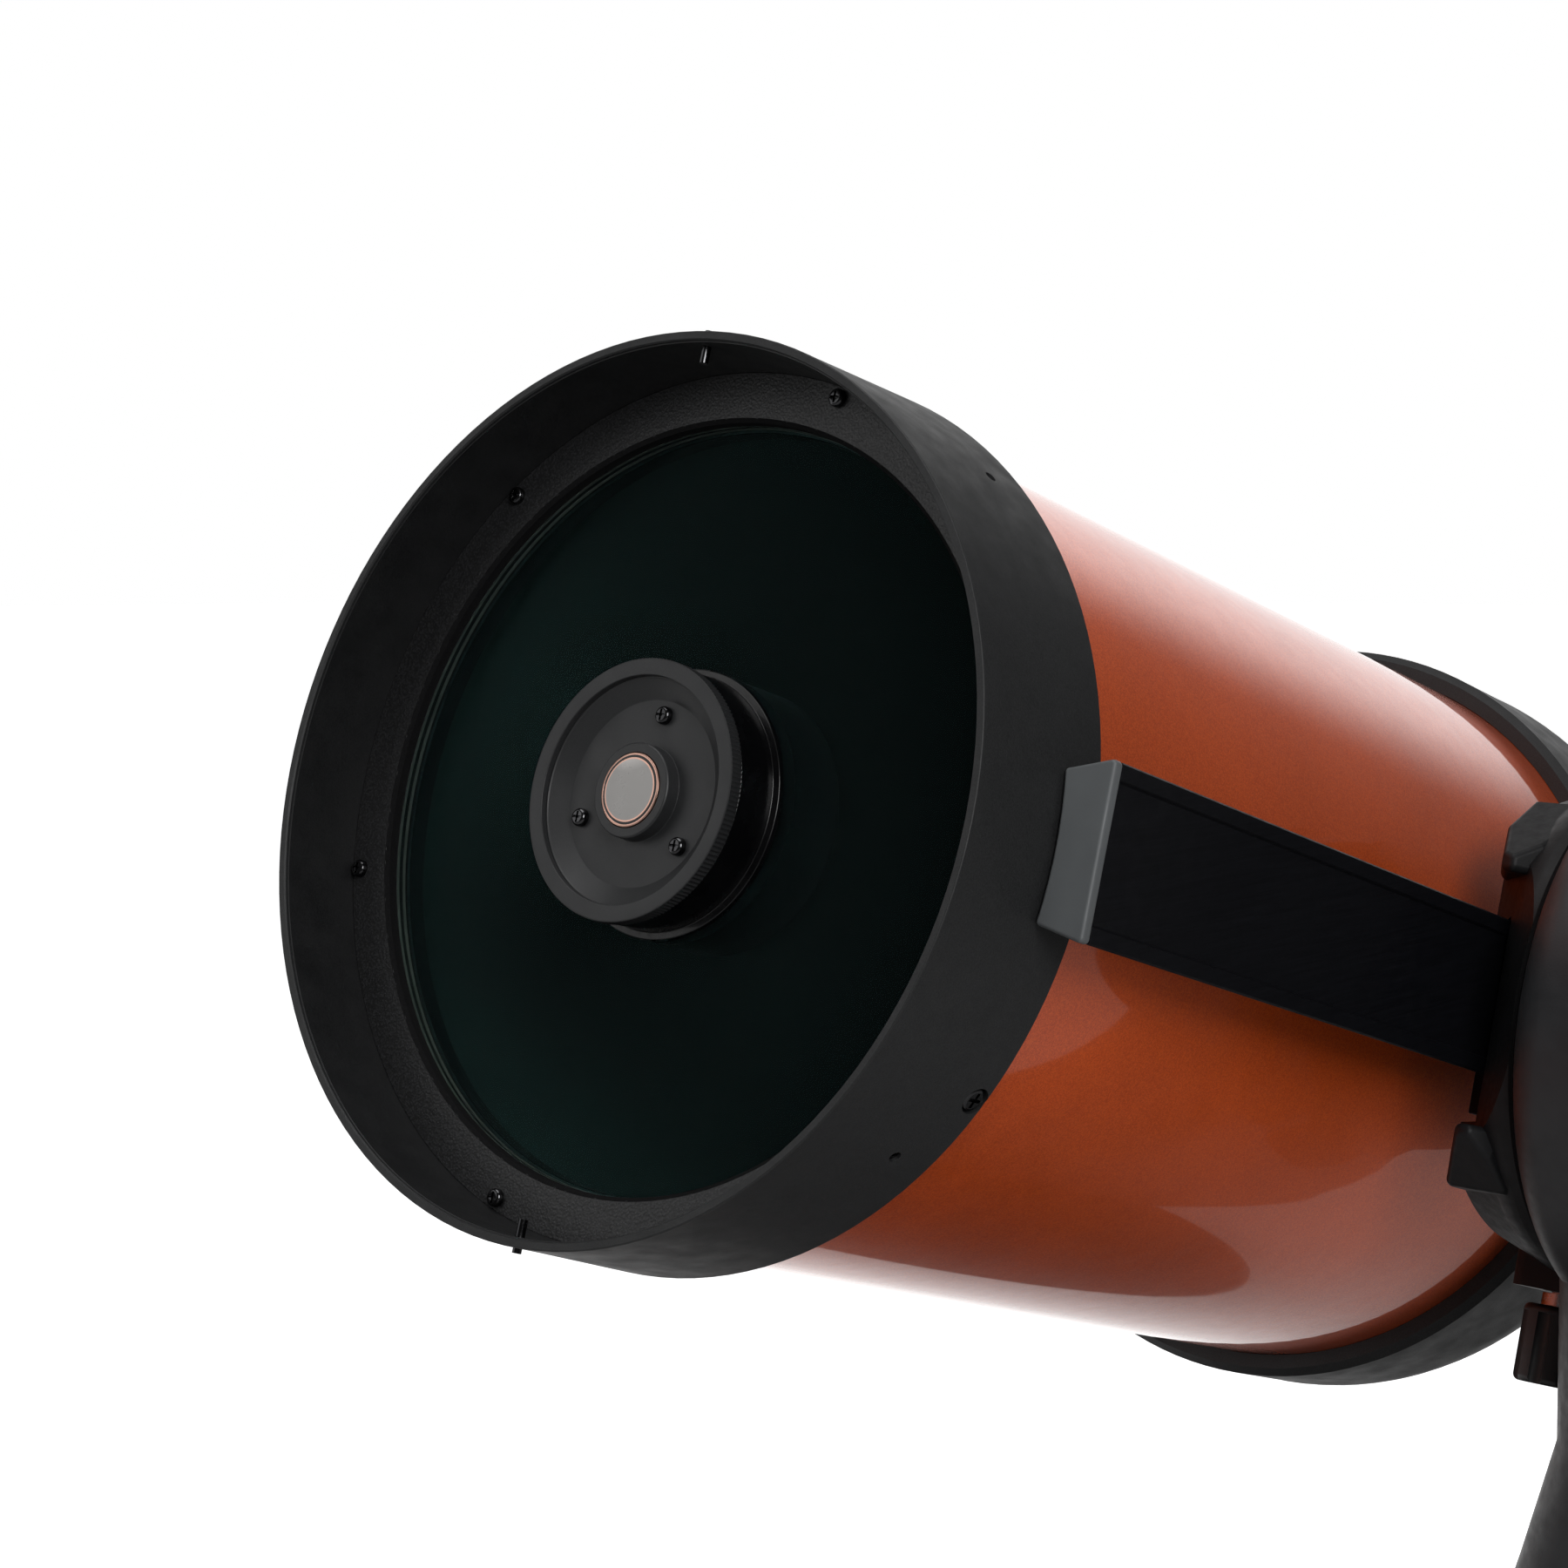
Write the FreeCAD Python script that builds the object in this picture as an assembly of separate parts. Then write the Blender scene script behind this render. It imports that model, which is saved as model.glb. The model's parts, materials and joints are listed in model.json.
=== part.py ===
import FreeCAD, Part
import math
import os
from FreeCAD import Rotation, Vector

# Schmidt-Cassegrain telescope on a single-arm altazimuth mount.
# Frame: +Z up, origin on the azimuth axis at the plane of the base's feet.
# The tube points to -Y and the arm stands on +X. The altitude axis runs along X.
# The optical tube is modelled level about the altitude axis, then tipped nose up
# and lifted to the axis height by place_tube().
# "depth" is the distance behind the front rim, measured along the tube.
# "clock" is the angle about the tube from +X (the arm's side) towards the ground.

os.makedirs("parts", exist_ok=True)

# ---- driving dimensions, mm and degrees ----
AXIS_HEIGHT = 385.0
REST_ALTITUDE = 17.5
AXIS_DEPTH = 275.0

FIT = 0.05
BODY_GAP = 0.35
WALL = 3.0

RIM_RADIUS = 116.0
CELL_RADIUS = 117.5
CELL_LENGTH = 45.5
RIM_BORE = 113.7
TUBE_RADIUS = 110.9
TUBE_WALL = 1.2
TUBE_FRONT = 38.2
TUBE_REAR = 333.8
TUBE_SEAT = 111.0

RING_FRONT = 24.6
RING_REAR = 28.2
RING_BORE = 100.0
RING_SCREW_CIRCLE = 110.0
RING_SCREW_CLOCK = 45.7
CORRECTOR_RADIUS = 104.5
CORRECTOR_FRONT = 28.3
CORRECTOR_REAR = 33.1
CORRECTOR_HOLE = 30.0

SECONDARY_RADIUS = 33.83
SECONDARY_FRONT = 9.9
DISH_DEPTH = 15.1
BOSS_FRONT = 10.8
COLLIMATION_CIRCLE = 20.3
COLLIMATION_CLOCK = 37.4

REAR_FRONT = 326.5
REAR_FACE = 392.0
REAR_FLOOR = 387.0
BACK_THREAD = 25.4
BAFFLE_RADIUS = 20.0
MIRROR_RADIUS = 102.0
MIRROR_FRONT = 336.0
MIRROR_BACK = 354.0
FOCUS_X = 40.0
FOCUS_Z = -52.0
EYEPIECE_RADIUS = 15.87
EYEPIECE_BORE = 15.93
DIAGONAL_DEPTH = 456.0

BAR_INNER = 117.6
BAR_OUTER = 130.0
BAR_HALF_INNER = 18.0
BAR_HALF_OUTER = 21.5
BAR_FRONT = 33.5
BAR_REAR = 345.0
SADDLE_FACE = 121.0
CHANNEL_FLOOR = 131.0
CHANNEL_BOTTOM = -34.5
SADDLE_BACK = 147.6
SADDLE_RADIUS = 70.5
CLAMP_X = 135.0
CLAMP_Y = 9.0

ARM_INNER = 148.2
ARM_OUTER = 214.0
ARM_SPLIT = 180.0
HEAD_RADIUS = 80.0
SHAFT_RADIUS = 15.0
WHEEL_TEETH = 90
ALT_WHEEL_RADIUS = 45.0
AZ_WHEEL_RADIUS = 60.0
WORM_RADIUS = 8.0
WORM_GAP = 0.5
JOURNAL = 3.0

BASE_RADIUS = 125.0
BASE_TOP = 33.0
DRUM_RADIUS = 131.0
DRUM_BOTTOM = 34.5
DRUM_TOP = 98.0
SPINDLE_RADIUS = 9.9
PLATE_BOTTOM = 56.0
PLATE_TOP = 60.0
TRIPOD_CIRCLE = 66.0
TRIPOD_HOLE = 4.0

ORIGIN = Vector(0, 0, 0)
X_AXIS = Vector(1, 0, 0)
Y_AXIS = Vector(0, 1, 0)
Z_AXIS = Vector(0, 0, 1)
ALT_WORM_Z = AXIS_HEIGHT - ALT_WHEEL_RADIUS - WORM_RADIUS - WORM_GAP
ALT_WORM_X = 188.0
AZ_WORM_X = -(AZ_WHEEL_RADIUS + WORM_RADIUS + WORM_GAP)
AZ_WORM_Z = 41.0


# ---- helpers ----
def along(depth):
    """Y of a depth behind the front rim."""
    return depth - AXIS_DEPTH


def clock_way(clock):
    """Unit vector across the tube at a clock angle."""
    angle = math.radians(clock)
    return Vector(math.cos(angle), 0, -math.sin(angle))


def wire(points):
    """Closed wire through 3-D points; a pair of points is an arc's middle and end."""
    edges = []
    here = points[0]
    for item in points[1:] + points[:1]:
        if isinstance(item, tuple):
            edges.append(Part.Arc(here, item[0], item[1]).toShape())
            here = item[1]
        elif (item - here).Length > 1e-6:
            edges.append(Part.makeLine(here, item))
            here = item
    return Part.Wire(edges)


def turned(profile, to_point, axis):
    """Solid of revolution of a closed (radius, height) profile; 4 numbers make an arc."""
    points = []
    for item in profile:
        if len(item) == 4:
            points.append((to_point(item[0], item[1]), to_point(item[2], item[3])))
        else:
            points.append(to_point(item[0], item[1]))
    return Part.Face(wire(points)).revolve(ORIGIN, axis, 360)


def lathe(profile):
    """Turned about the optical axis: (radius, depth) corners."""
    return turned(profile, lambda r, d: Vector(r, along(d), 0), Y_AXIS)


def lathe_x(profile):
    """Turned about the altitude axis: (radius, x) corners."""
    return turned(profile, lambda r, x: Vector(x, r, 0), X_AXIS)


def lathe_z(profile):
    """Turned about the azimuth axis: (radius, z) corners."""
    return turned(profile, lambda r, z: Vector(r, 0, z), Z_AXIS)


def rod(radius, start, end):
    """Round bar between two points."""
    way = end - start
    return Part.makeCylinder(radius, way.Length, start, way)


def pipe(outer, inner, start, end):
    """Round tube between two points."""
    return rod(outer, start, end).cut(rod(inner, start, end))


def block(low, high):
    """Box from its lowest to its highest corner."""
    size = Vector(*high) - Vector(*low)
    return Part.makeBox(size.x, size.y, size.z, Vector(*low))


def prism(points, way):
    """Polygon swept along a vector."""
    return Part.Face(wire(points)).extrude(way)


def slab_edges(shape, axis):
    """Straight edges of a shape that run along an axis."""
    chosen = []
    for edge in shape.Edges:
        if edge.Curve.TypeId == "Part::GeomLine":
            if abs(edge.tangentAt(edge.FirstParameter).dot(axis)) > 0.999:
                chosen.append(edge)
    return chosen


def rounded_block(low, high, axis, radius):
    """Box with its edges along one axis rounded."""
    shape = block(low, high)
    return shape.makeFillet(radius, slab_edges(shape, axis))


def joined(shapes):
    """Union of overlapping shapes with shared faces merged."""
    return shapes[0].fuse(shapes[1:]).removeSplitter()


def group(shapes):
    """Separate solids kept side by side in one node."""
    return Part.makeCompound(shapes)


def screw(seat, way, head_radius, head_height, shank_radius, shank_length):
    """Pan-head screw with a cross recess; seat is under the head, way points out of it."""
    out = Vector(way).normalize()
    head = rod(head_radius, seat, seat + out * head_height)
    top = [edge for edge in head.Edges if abs((edge.CenterOfMass - seat).dot(out) - head_height) < 1e-3]
    head = head.makeFillet(head_height * 0.55, top)
    side = out.cross(X_AXIS if abs(out.x) < 0.7 else Z_AXIS).normalize()
    shape = joined([head, rod(shank_radius, seat - out * shank_length, seat + out * head_height * 0.3)])
    slot_floor = seat + out * head_height * 0.45
    for across in (side, out.cross(side)):
        half = across * head_radius * 0.62
        thick = out.cross(across) * head_radius * 0.14
        corners = [slot_floor - half - thick, slot_floor + half - thick,
                   slot_floor + half + thick, slot_floor - half + thick]
        shape = shape.cut(prism(corners, out * head_height))
    return shape


def thumbscrew(tip, way, shank_radius, shank_length, head_radius, head_length, ribs):
    """Thumbscrew with a ribbed round head, from its tip outwards."""
    out = Vector(way).normalize()
    neck = tip + out * shank_length
    end = neck + out * head_length
    shape = joined([rod(shank_radius, tip, neck + out), rod(head_radius, neck, end)])
    side = out.cross(X_AXIS if abs(out.x) < 0.7 else Z_AXIS).normalize()
    for number in range(ribs):
        edge = Rotation(out, 360.0 * number / ribs).multVec(side) * (head_radius + 0.35)
        shape = shape.cut(rod(0.8, neck + edge + out * 0.8, end + edge + out))
    return shape


def toothed_wheel(tip_radius, teeth, bore, centre, axis, thickness):
    """Worm wheel with straight-sided teeth; centre is on its lower face."""
    way = Vector(axis).normalize()
    side = way.cross(X_AXIS if abs(way.x) < 0.7 else Z_AXIS).normalize()
    pitch = 360.0 / teeth
    root_radius = tip_radius - 2.2 * tip_radius / teeth * 2
    corners = []
    for tooth in range(teeth):
        for radius, share in ((root_radius, 0.0), (root_radius, 0.35), (tip_radius, 0.5), (tip_radius, 0.85)):
            spoke = Rotation(way, pitch * (tooth + share)).multVec(side)
            corners.append(centre + spoke * radius)
    wheel = prism(corners, way * thickness)
    return wheel.cut(rod(bore, centre - way, centre + way * (thickness + 1)))


def worm(middle, half_length, journal_reach, threads):
    """Worm along Y with its end journals; the thread ridges are plain rings."""
    core = WORM_RADIUS - 2.0
    shape = rod(core, middle - Y_AXIS * half_length, middle + Y_AXIS * half_length)
    pieces = [shape, rod(JOURNAL, middle - Y_AXIS * journal_reach, middle + Y_AXIS * journal_reach)]
    pitch = 2 * half_length / threads
    for number in range(threads):
        start = middle + Y_AXIS * (-half_length + (number + 0.2) * pitch)
        pieces.append(rod(WORM_RADIUS, start, start + Y_AXIS * pitch * 0.5))
    return joined(pieces)


def place_tube(shape):
    """Tip a level tube part nose up about the altitude axis and lift it to its height."""
    placed = shape.copy()
    placed.rotate(ORIGIN, X_AXIS, -REST_ALTITUDE)
    placed.translate(Z_AXIS * AXIS_HEIGHT)
    return placed


def save(node, shape):
    shape.exportStep("parts/" + node + ".step")
    print(node, round(shape.Volume), shape.isValid(), len(shape.Solids))


def save_tube(node, shape):
    save(node, place_tube(shape))


# ---- front of the optical tube ----
RING_CLOCKS = [RING_SCREW_CLOCK + 60 * number for number in range(6)]
CELL_CLOCKS = [31 + 120 * number for number in range(3)]
CENTRING_CLOCKS = [41 + 90 * number for number in range(4)]
CAP_PIN_CLOCKS = [-90, 90]
COLLIMATION_CLOCKS = [COLLIMATION_CLOCK + 120 * number for number in range(3)]
CELL_SCREW_DEPTH = 41.6
CENTRING_DEPTH = 31.5
CAP_PIN_DEPTH = 5.0
BAR_SCREWS = [(42.0, 109.0), (338.0, 107.2)]
BAR_SCREW_Z = 9.0


def spot(radius, clock, depth):
    """Point at a radius, clock angle and depth in the tube."""
    return clock_way(clock) * radius + Y_AXIS * along(depth)


def bar_screw_holes():
    holes = []
    for depth, seat in BAR_SCREWS:
        for z in (-BAR_SCREW_Z, BAR_SCREW_Z):
            holes.append(rod(2.55, Vector(seat - 3, along(depth), z), Vector(126, along(depth), z)))
    return holes


def front_cell():
    cell = lathe([
        (RIM_BORE, 0.5), (114.0, 0), (115.4, 0), (115.9, 0.1, RIM_RADIUS, 0.6),
        (CELL_RADIUS, CELL_LENGTH - 0.5), (CELL_RADIUS - 0.5, CELL_LENGTH),
        (TUBE_SEAT, CELL_LENGTH), (TUBE_SEAT, TUBE_FRONT - 0.2), (99.5, TUBE_FRONT - 0.2),
        (99.5, CORRECTOR_REAR), (CORRECTOR_RADIUS + 0.7, CORRECTOR_REAR),
        (CORRECTOR_RADIUS + 0.7, RING_REAR), (RIM_BORE - 0.4, RING_REAR)])
    tools = []
    for clock in RING_CLOCKS:
        tools.append(rod(1.35, spot(RING_SCREW_CIRCLE, clock, 27), spot(RING_SCREW_CIRCLE, clock, 34)))
    for clock in CELL_CLOCKS:
        tools.append(rod(1.7, spot(105, clock, CELL_SCREW_DEPTH), spot(119, clock, CELL_SCREW_DEPTH)))
        tools.append(rod(3.7, spot(115.2, clock, CELL_SCREW_DEPTH), spot(119, clock, CELL_SCREW_DEPTH)))
    for clock in CENTRING_CLOCKS:
        tools.append(rod(1.55, spot(103, clock, CENTRING_DEPTH), spot(119, clock, CENTRING_DEPTH)))
    for clock in CAP_PIN_CLOCKS:
        tools.append(rod(1.2, spot(110, clock, CAP_PIN_DEPTH), spot(119, clock, CAP_PIN_DEPTH)))
    return cell.cut(tools + bar_screw_holes())


def corrector_ring():
    ring = lathe([
        (RING_BORE + 0.9, RING_FRONT), (113.1, RING_FRONT), (113.1, RING_REAR - 0.05),
        (RING_BORE, RING_REAR - 0.05), (RING_BORE, RING_FRONT + 0.9)])
    holes = []
    for clock in RING_CLOCKS:
        holes.append(rod(1.5, spot(RING_SCREW_CIRCLE, clock, 23), spot(RING_SCREW_CIRCLE, clock, 30)))
    return ring.cut(holes)


def ring_screws():
    screws = []
    for clock in RING_CLOCKS:
        screws.append(screw(spot(RING_SCREW_CIRCLE, clock, RING_FRONT), -Y_AXIS, 2.4, 1.9, 1.3, 8))
    return group(screws)


def cell_screws():
    screws = []
    for clock in CELL_CLOCKS:
        screws.append(screw(spot(115.2, clock, CELL_SCREW_DEPTH), clock_way(clock), 3.4, 1.9, 1.6, 8))
    return group(screws)


def centring_screws():
    screws = []
    for clock in CENTRING_CLOCKS:
        inner = spot(CORRECTOR_RADIUS + 0.2, clock, CENTRING_DEPTH)
        outer = spot(116.2, clock, CENTRING_DEPTH)
        body = rod(1.5, inner, outer)
        screws.append(body.cut(rod(0.75, outer - clock_way(clock) * 2, outer + clock_way(clock))))
    return group(screws)


def cap_pins():
    pins = []
    for clock in CAP_PIN_CLOCKS:
        pins.append(rod(1.2, spot(109, clock, CAP_PIN_DEPTH), spot(117.4, clock, CAP_PIN_DEPTH)))
    return group(pins)


def corrector_plate():
    return lathe([
        (CORRECTOR_HOLE, CORRECTOR_FRONT), (CORRECTOR_RADIUS, CORRECTOR_FRONT),
        (CORRECTOR_RADIUS, CORRECTOR_REAR - 0.1), (CORRECTOR_HOLE, CORRECTOR_REAR - 0.1)])


# ---- secondary mirror assembly ----
def secondary_holder():
    return lathe([
        (27.5, 14.2), (29.0, 12.6), (31.2, 12.6), (31.2, 14.2), (33.2, 14.2), (33.2, 26.3),
        (35.1, 26.6), (35.1, CORRECTOR_FRONT - 0.1), (CORRECTOR_HOLE - 0.1, CORRECTOR_FRONT - 0.1),
        (CORRECTOR_HOLE - 0.1, 38), (27.5, 38)])


def secondary_ring():
    ring = lathe([
        (29.4, SECONDARY_FRONT + 0.2), (29.6, SECONDARY_FRONT), (33.3, SECONDARY_FRONT),
        (SECONDARY_RADIUS, SECONDARY_FRONT + 0.5), (SECONDARY_RADIUS, 13.9),
        (31.3, 13.9), (31.3, 11.6), (29.4, 11.6)])
    notches = []
    for number in range(90):
        centre = clock_way(4 * number) * (SECONDARY_RADIUS + 0.45)
        notches.append(rod(0.75, centre + Y_AXIS * along(9), centre + Y_AXIS * along(14.5)))
    return ring.cut(notches)


def secondary_cell():
    cell = lathe([
        (0, 11.4), (9.7, 11.4), (9.7, BOSS_FRONT), (11.9, BOSS_FRONT), (12.3, 11.2),
        (12.3, DISH_DEPTH), (24.1, DISH_DEPTH), (28.9, 12.1), (29.2, 11.7), (31.2, 11.7),
        (31.2, 12.55), (28.9, 12.55), (27.4, 14.0), (27.4, 38), (25.4, 38), (25.4, 17.6), (0, 17.6)])
    holes = []
    for clock in COLLIMATION_CLOCKS:
        holes.append(rod(1.35, spot(COLLIMATION_CIRCLE, clock, 14), spot(COLLIMATION_CIRCLE, clock, 19)))
    return cell.cut(holes)


def collimation_screws():
    screws = []
    for clock in COLLIMATION_CLOCKS:
        screws.append(screw(spot(COLLIMATION_CIRCLE, clock, DISH_DEPTH), -Y_AXIS, 2.35, 2.0, 1.3, 14))
    return group(screws)


def secondary_badge():
    return lathe([(0, 11.35), (9.6, 11.35), (9.6, 10.9), (9.2, 10.6), (6, 10.42), (2, 10.3), (0, 10.3)])


def secondary_mirror():
    return lathe([(0, 30.5), (25.3, 30.5), (25.3, 36.8), (12.7, 38.6, 2, 39.2), (0, 39.2)])


def secondary_baffle():
    return lathe([
        (CORRECTOR_HOLE, CORRECTOR_REAR + 0.1), (35, CORRECTOR_REAR + 0.1), (35, 51),
        (33.8, 51), (33.8, 37.5), (CORRECTOR_HOLE, 37.5)])


# ---- tube, rear cell and primary mirror ----
def tube_shell():
    inner = TUBE_RADIUS - TUBE_WALL
    shell = lathe([
        (inner, TUBE_FRONT), (TUBE_RADIUS, TUBE_FRONT), (TUBE_RADIUS, TUBE_REAR), (inner, TUBE_REAR)])
    tools = []
    for clock in CELL_CLOCKS:
        tools.append(rod(1.7, spot(105, clock, CELL_SCREW_DEPTH), spot(119, clock, CELL_SCREW_DEPTH)))
    return shell.cut(tools + bar_screw_holes())


def rear_cell():
    cell = lathe([
        (TUBE_SEAT, REAR_FRONT), (115.2, REAR_FRONT), (CELL_RADIUS, REAR_FRONT + 2.3),
        (CELL_RADIUS, 358), (111.5, 379.5, 94, REAR_FACE), (37, REAR_FACE), (36, REAR_FACE + 4),
        (BACK_THREAD, REAR_FACE + 4), (BACK_THREAD, 404), (BAFFLE_RADIUS, 404),
        (BAFFLE_RADIUS, REAR_FLOOR), (92, REAR_FLOOR), (106.2, 376.5, 110.5, 358),
        (110.5, 340), (108, 337), (108, 334), (TUBE_SEAT, 334)])
    hole = rod(3.5, Vector(FOCUS_X, along(380), FOCUS_Z), Vector(FOCUS_X, along(395), FOCUS_Z))
    return cell.cut([hole] + bar_screw_holes())


def baffle_tube():
    return lathe([
        (BAFFLE_RADIUS, 404), (BAFFLE_RADIUS, 205), (16.5, 175), (15.7, 175),
        (18.7, 205.4), (18.7, 404)])


def primary_mirror():
    return lathe([
        (24.1, MIRROR_FRONT + 6.1), (65, MIRROR_FRONT + 3.8, MIRROR_RADIUS, MIRROR_FRONT),
        (MIRROR_RADIUS, MIRROR_BACK), (24.1, MIRROR_BACK)])


def mirror_carrier():
    bore = BAFFLE_RADIUS + 0.08
    sleeve = lathe([
        (bore, 332), (24, 332), (24, MIRROR_BACK + 0.1), (45, MIRROR_BACK + 0.1),
        (45, 357), (24, 357), (24, 374), (bore, 374)])
    way = Vector(FOCUS_X, 0, FOCUS_Z).normalize()
    side = way.cross(Y_AXIS) * 9
    root = way * 22.5 + Y_AXIS * along(370)
    tip = way * 74 + Y_AXIS * along(370)
    lug = prism([root - side, tip - side, tip + side, root + side], Y_AXIS * 4)
    hole = rod(3.08, Vector(FOCUS_X, along(365), FOCUS_Z), Vector(FOCUS_X, along(376), FOCUS_Z))
    return joined([sleeve, lug]).cut(hole)


def focus_line(shape_function):
    """Place a part turned about the optical axis on the focus screw's axis instead."""
    shape = shape_function.copy()
    shape.translate(Vector(FOCUS_X, 0, FOCUS_Z))
    return shape


def focus_knob():
    knob = lathe([
        (0, 412), (JOURNAL, 412), (JOURNAL, 405.2), (15.5, 405.2), (17.8, 407.5),
        (18.2, 426), (17.2, 428.6, 14.5, 429.6), (13.5, 428.8), (0, 428.8)])
    grooves = []
    for number in range(36):
        centre = clock_way(10 * number) * 19.0
        grooves.append(rod(1.3, centre + Y_AXIS * along(408.5), centre + Y_AXIS * along(425)))
    return focus_line(knob.cut(grooves))


def focus_screw():
    return focus_line(lathe([(0, 362.4), (JOURNAL, 362.4), (JOURNAL, 411.9), (0, 411.9)]))


def focuser_retainer():
    hole = JOURNAL + FIT
    return focus_line(lathe([
        (hole, REAR_FACE + 0.02), (21.5, REAR_FACE + 0.02), (22, REAR_FACE + 0.5), (22, 395),
        (21, 396), (12.5, 396), (12, 403.8), (hole, 403.8)]))


# ---- visual back, star diagonal and eyepiece ----
def visual_back():
    back = lathe([
        (BACK_THREAD + 0.02, 397.2), (30.4, 397.2), (31, 397.8), (31, 407), (30.4, 407.8),
        (22.2, 408.4), (21.5, 409.2), (21.5, 433.5), (21, 434.2), (EYEPIECE_BORE, 434.2),
        (EYEPIECE_BORE, 406), (BACK_THREAD + 0.02, 405)])
    notches = []
    for number in range(60):
        centre = clock_way(6 * number) * 31.5
        notches.append(rod(0.9, centre + Y_AXIS * along(398.8), centre + Y_AXIS * along(406)))
    way = clock_way(-135)
    notches.append(rod(2.0 + FIT, way * 14 + Y_AXIS * along(424), way * 24 + Y_AXIS * along(424)))
    return back.cut(notches)


def back_thumbscrew():
    tip = spot(EYEPIECE_RADIUS + 0.35, -135, 424)
    return thumbscrew(tip, clock_way(-135), 2.0, 8.5, 5.2, 9.0, 12)


def diagonal_section(inset):
    """Five-sided section of the diagonal's housing, moved in by an inset."""
    front = along(436.6) + inset
    rear = along(476.0) - inset
    corner = inset * math.tan(math.radians(22.5))
    low = -19.0 + inset
    high = 20.0 - inset
    return [(front, low), (along(455.0) - corner, low), (rear, 2.0 + corner), (rear, high), (front, high)]


def diagonal_prism(inset, half_width):
    points = [Vector(-half_width, y, z) for y, z in diagonal_section(inset)]
    return prism(points, X_AXIS * 2 * half_width)


def diagonal_body():
    middle = Vector(0, along(DIAGONAL_DEPTH), 0)
    shell = diagonal_prism(0, 19)
    shell = shell.makeFillet(1.5, slab_edges(shell, X_AXIS))
    sleeve = rod(19, middle + Z_AXIS * 19, middle + Z_AXIS * 46)
    shape = joined([shell, sleeve])
    tools = [diagonal_prism(3, 16)]
    tools.append(rod(14.6, Vector(0, along(435), 0), Vector(0, along(440), 0)))
    tools.append(rod(EYEPIECE_BORE, middle + Z_AXIS * 16, middle + Z_AXIS * 47))
    lock = middle + Z_AXIS * 36
    tools.append(rod(2.0 + FIT, lock + Y_AXIS * 14, lock + Y_AXIS * 21))
    return shape.cut(tools)


def diagonal_nose():
    return lathe([
        (14.6, 409), (EYEPIECE_RADIUS - 0.4, 409), (EYEPIECE_RADIUS, 409.6), (EYEPIECE_RADIUS, 436.6),
        (14.6, 436.6)])


def diagonal_mirror():
    lean = math.sqrt(0.5)
    slope = Vector(0, lean, lean)
    inward = Vector(0, -lean, lean)
    middle = Vector(0, along(465.5), -8.5) + inward * 3.05
    half = slope * 11.5
    face = [middle - half - X_AXIS * 15, middle + half - X_AXIS * 15, middle + half + X_AXIS * 15,
            middle - half + X_AXIS * 15]
    return prism(face, inward * 2.5)


def diagonal_thumbscrew():
    tip = Vector(0, along(DIAGONAL_DEPTH) + EYEPIECE_RADIUS + 0.35, 36)
    return thumbscrew(tip, Y_AXIS, 2.0, 7.0, 5.2, 9.0, 12)


def eyepiece_turned(profile):
    """Turned about the eyepiece's axis: (radius, height above the optical axis)."""
    shape = lathe_z(profile)
    shape.translate(Y_AXIS * along(DIAGONAL_DEPTH))
    return shape


def eyepiece_barrel():
    return eyepiece_turned([(14.6, 22), (EYEPIECE_RADIUS, 22), (EYEPIECE_RADIUS, 46.4), (14.6, 46.4)])


def eyepiece_body():
    return eyepiece_turned([
        (12.5, 46.45), (19.5, 46.45), (20, 47), (20, 56), (18, 58), (18, 72), (16.5, 74),
        (16.5, 78), (10.0, 78), (10.0, 74), (12.5, 72)])


def eyepiece_lenses():
    eye_lens = eyepiece_turned([(0, 74.05), (9.9, 74.05), (9.9, 76.6), (0, 77.4)])
    field_lens = eyepiece_turned([(0, 50), (12.4, 50), (12.4, 55), (0, 56.5)])
    return group([eye_lens, field_lens])


def eyecup():
    return eyepiece_turned([
        (11.5, 78.05), (16.5, 78.05), (17.6, 79.5), (18.2, 90), (17.4, 91.5), (16.2, 91.5),
        (15.4, 89), (14.6, 80.5), (11.5, 80.5)])


# ---- red-dot finder on the rear cell ----
def on_finder_side(shape):
    """Swing a part from the top of the tube to the side away from the arm."""
    swung = shape.copy()
    swung.rotate(ORIGIN, Y_AXIS, -52)
    return swung


def finder_bracket():
    foot = rounded_block((-14, along(335), 100), (14, along(368), 124), Y_AXIS, 2)
    foot = foot.cut(rod(CELL_RADIUS + 0.1, Vector(0, along(320), 0), Vector(0, along(380), 0)))
    shoe = prism([Vector(-7, along(335), 124), Vector(7, along(335), 124), Vector(9.5, along(335), 129),
                  Vector(-9.5, along(335), 129)], Y_AXIS * 33)
    return on_finder_side(joined([foot, shoe]))


def finder_body():
    base = rounded_block((-13, along(322), 129.05), (13, along(392), 143), Y_AXIS, 3)
    clamp = rounded_block((-13, along(337), 124.1), (13, along(366), 131), Y_AXIS, 1)
    clamp = clamp.cut(block((-9.8, along(330), 123), (9.8, along(372), 129.05)))
    hoop_start = Vector(0, along(322), 154)
    hoop_end = Vector(0, along(336), 154)
    hoop = rod(16.5, hoop_start, hoop_end)
    bore = rod(13.5, hoop_start - Y_AXIS, hoop_end + Y_AXIS)
    shape = joined([base, clamp, hoop]).cut(bore)
    return on_finder_side(shape)


def finder_window():
    seat = Vector(0, along(327), 154)
    return on_finder_side(rod(13.45, seat, seat + Y_AXIS * 2))


def finder_knob():
    start = Vector(-13.35, along(378), 136)
    knob = thumbscrew(start, -X_AXIS, 2.0, 0.5, 6.0, 7.0, 16)
    return on_finder_side(knob)


# ---- dovetail bar ----
def bar_half(x):
    """Half width of the dovetail at a distance from the tube axis."""
    return BAR_HALF_INNER + (x - BAR_INNER) * (BAR_HALF_OUTER - BAR_HALF_INNER) / (BAR_OUTER - BAR_INNER)


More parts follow.
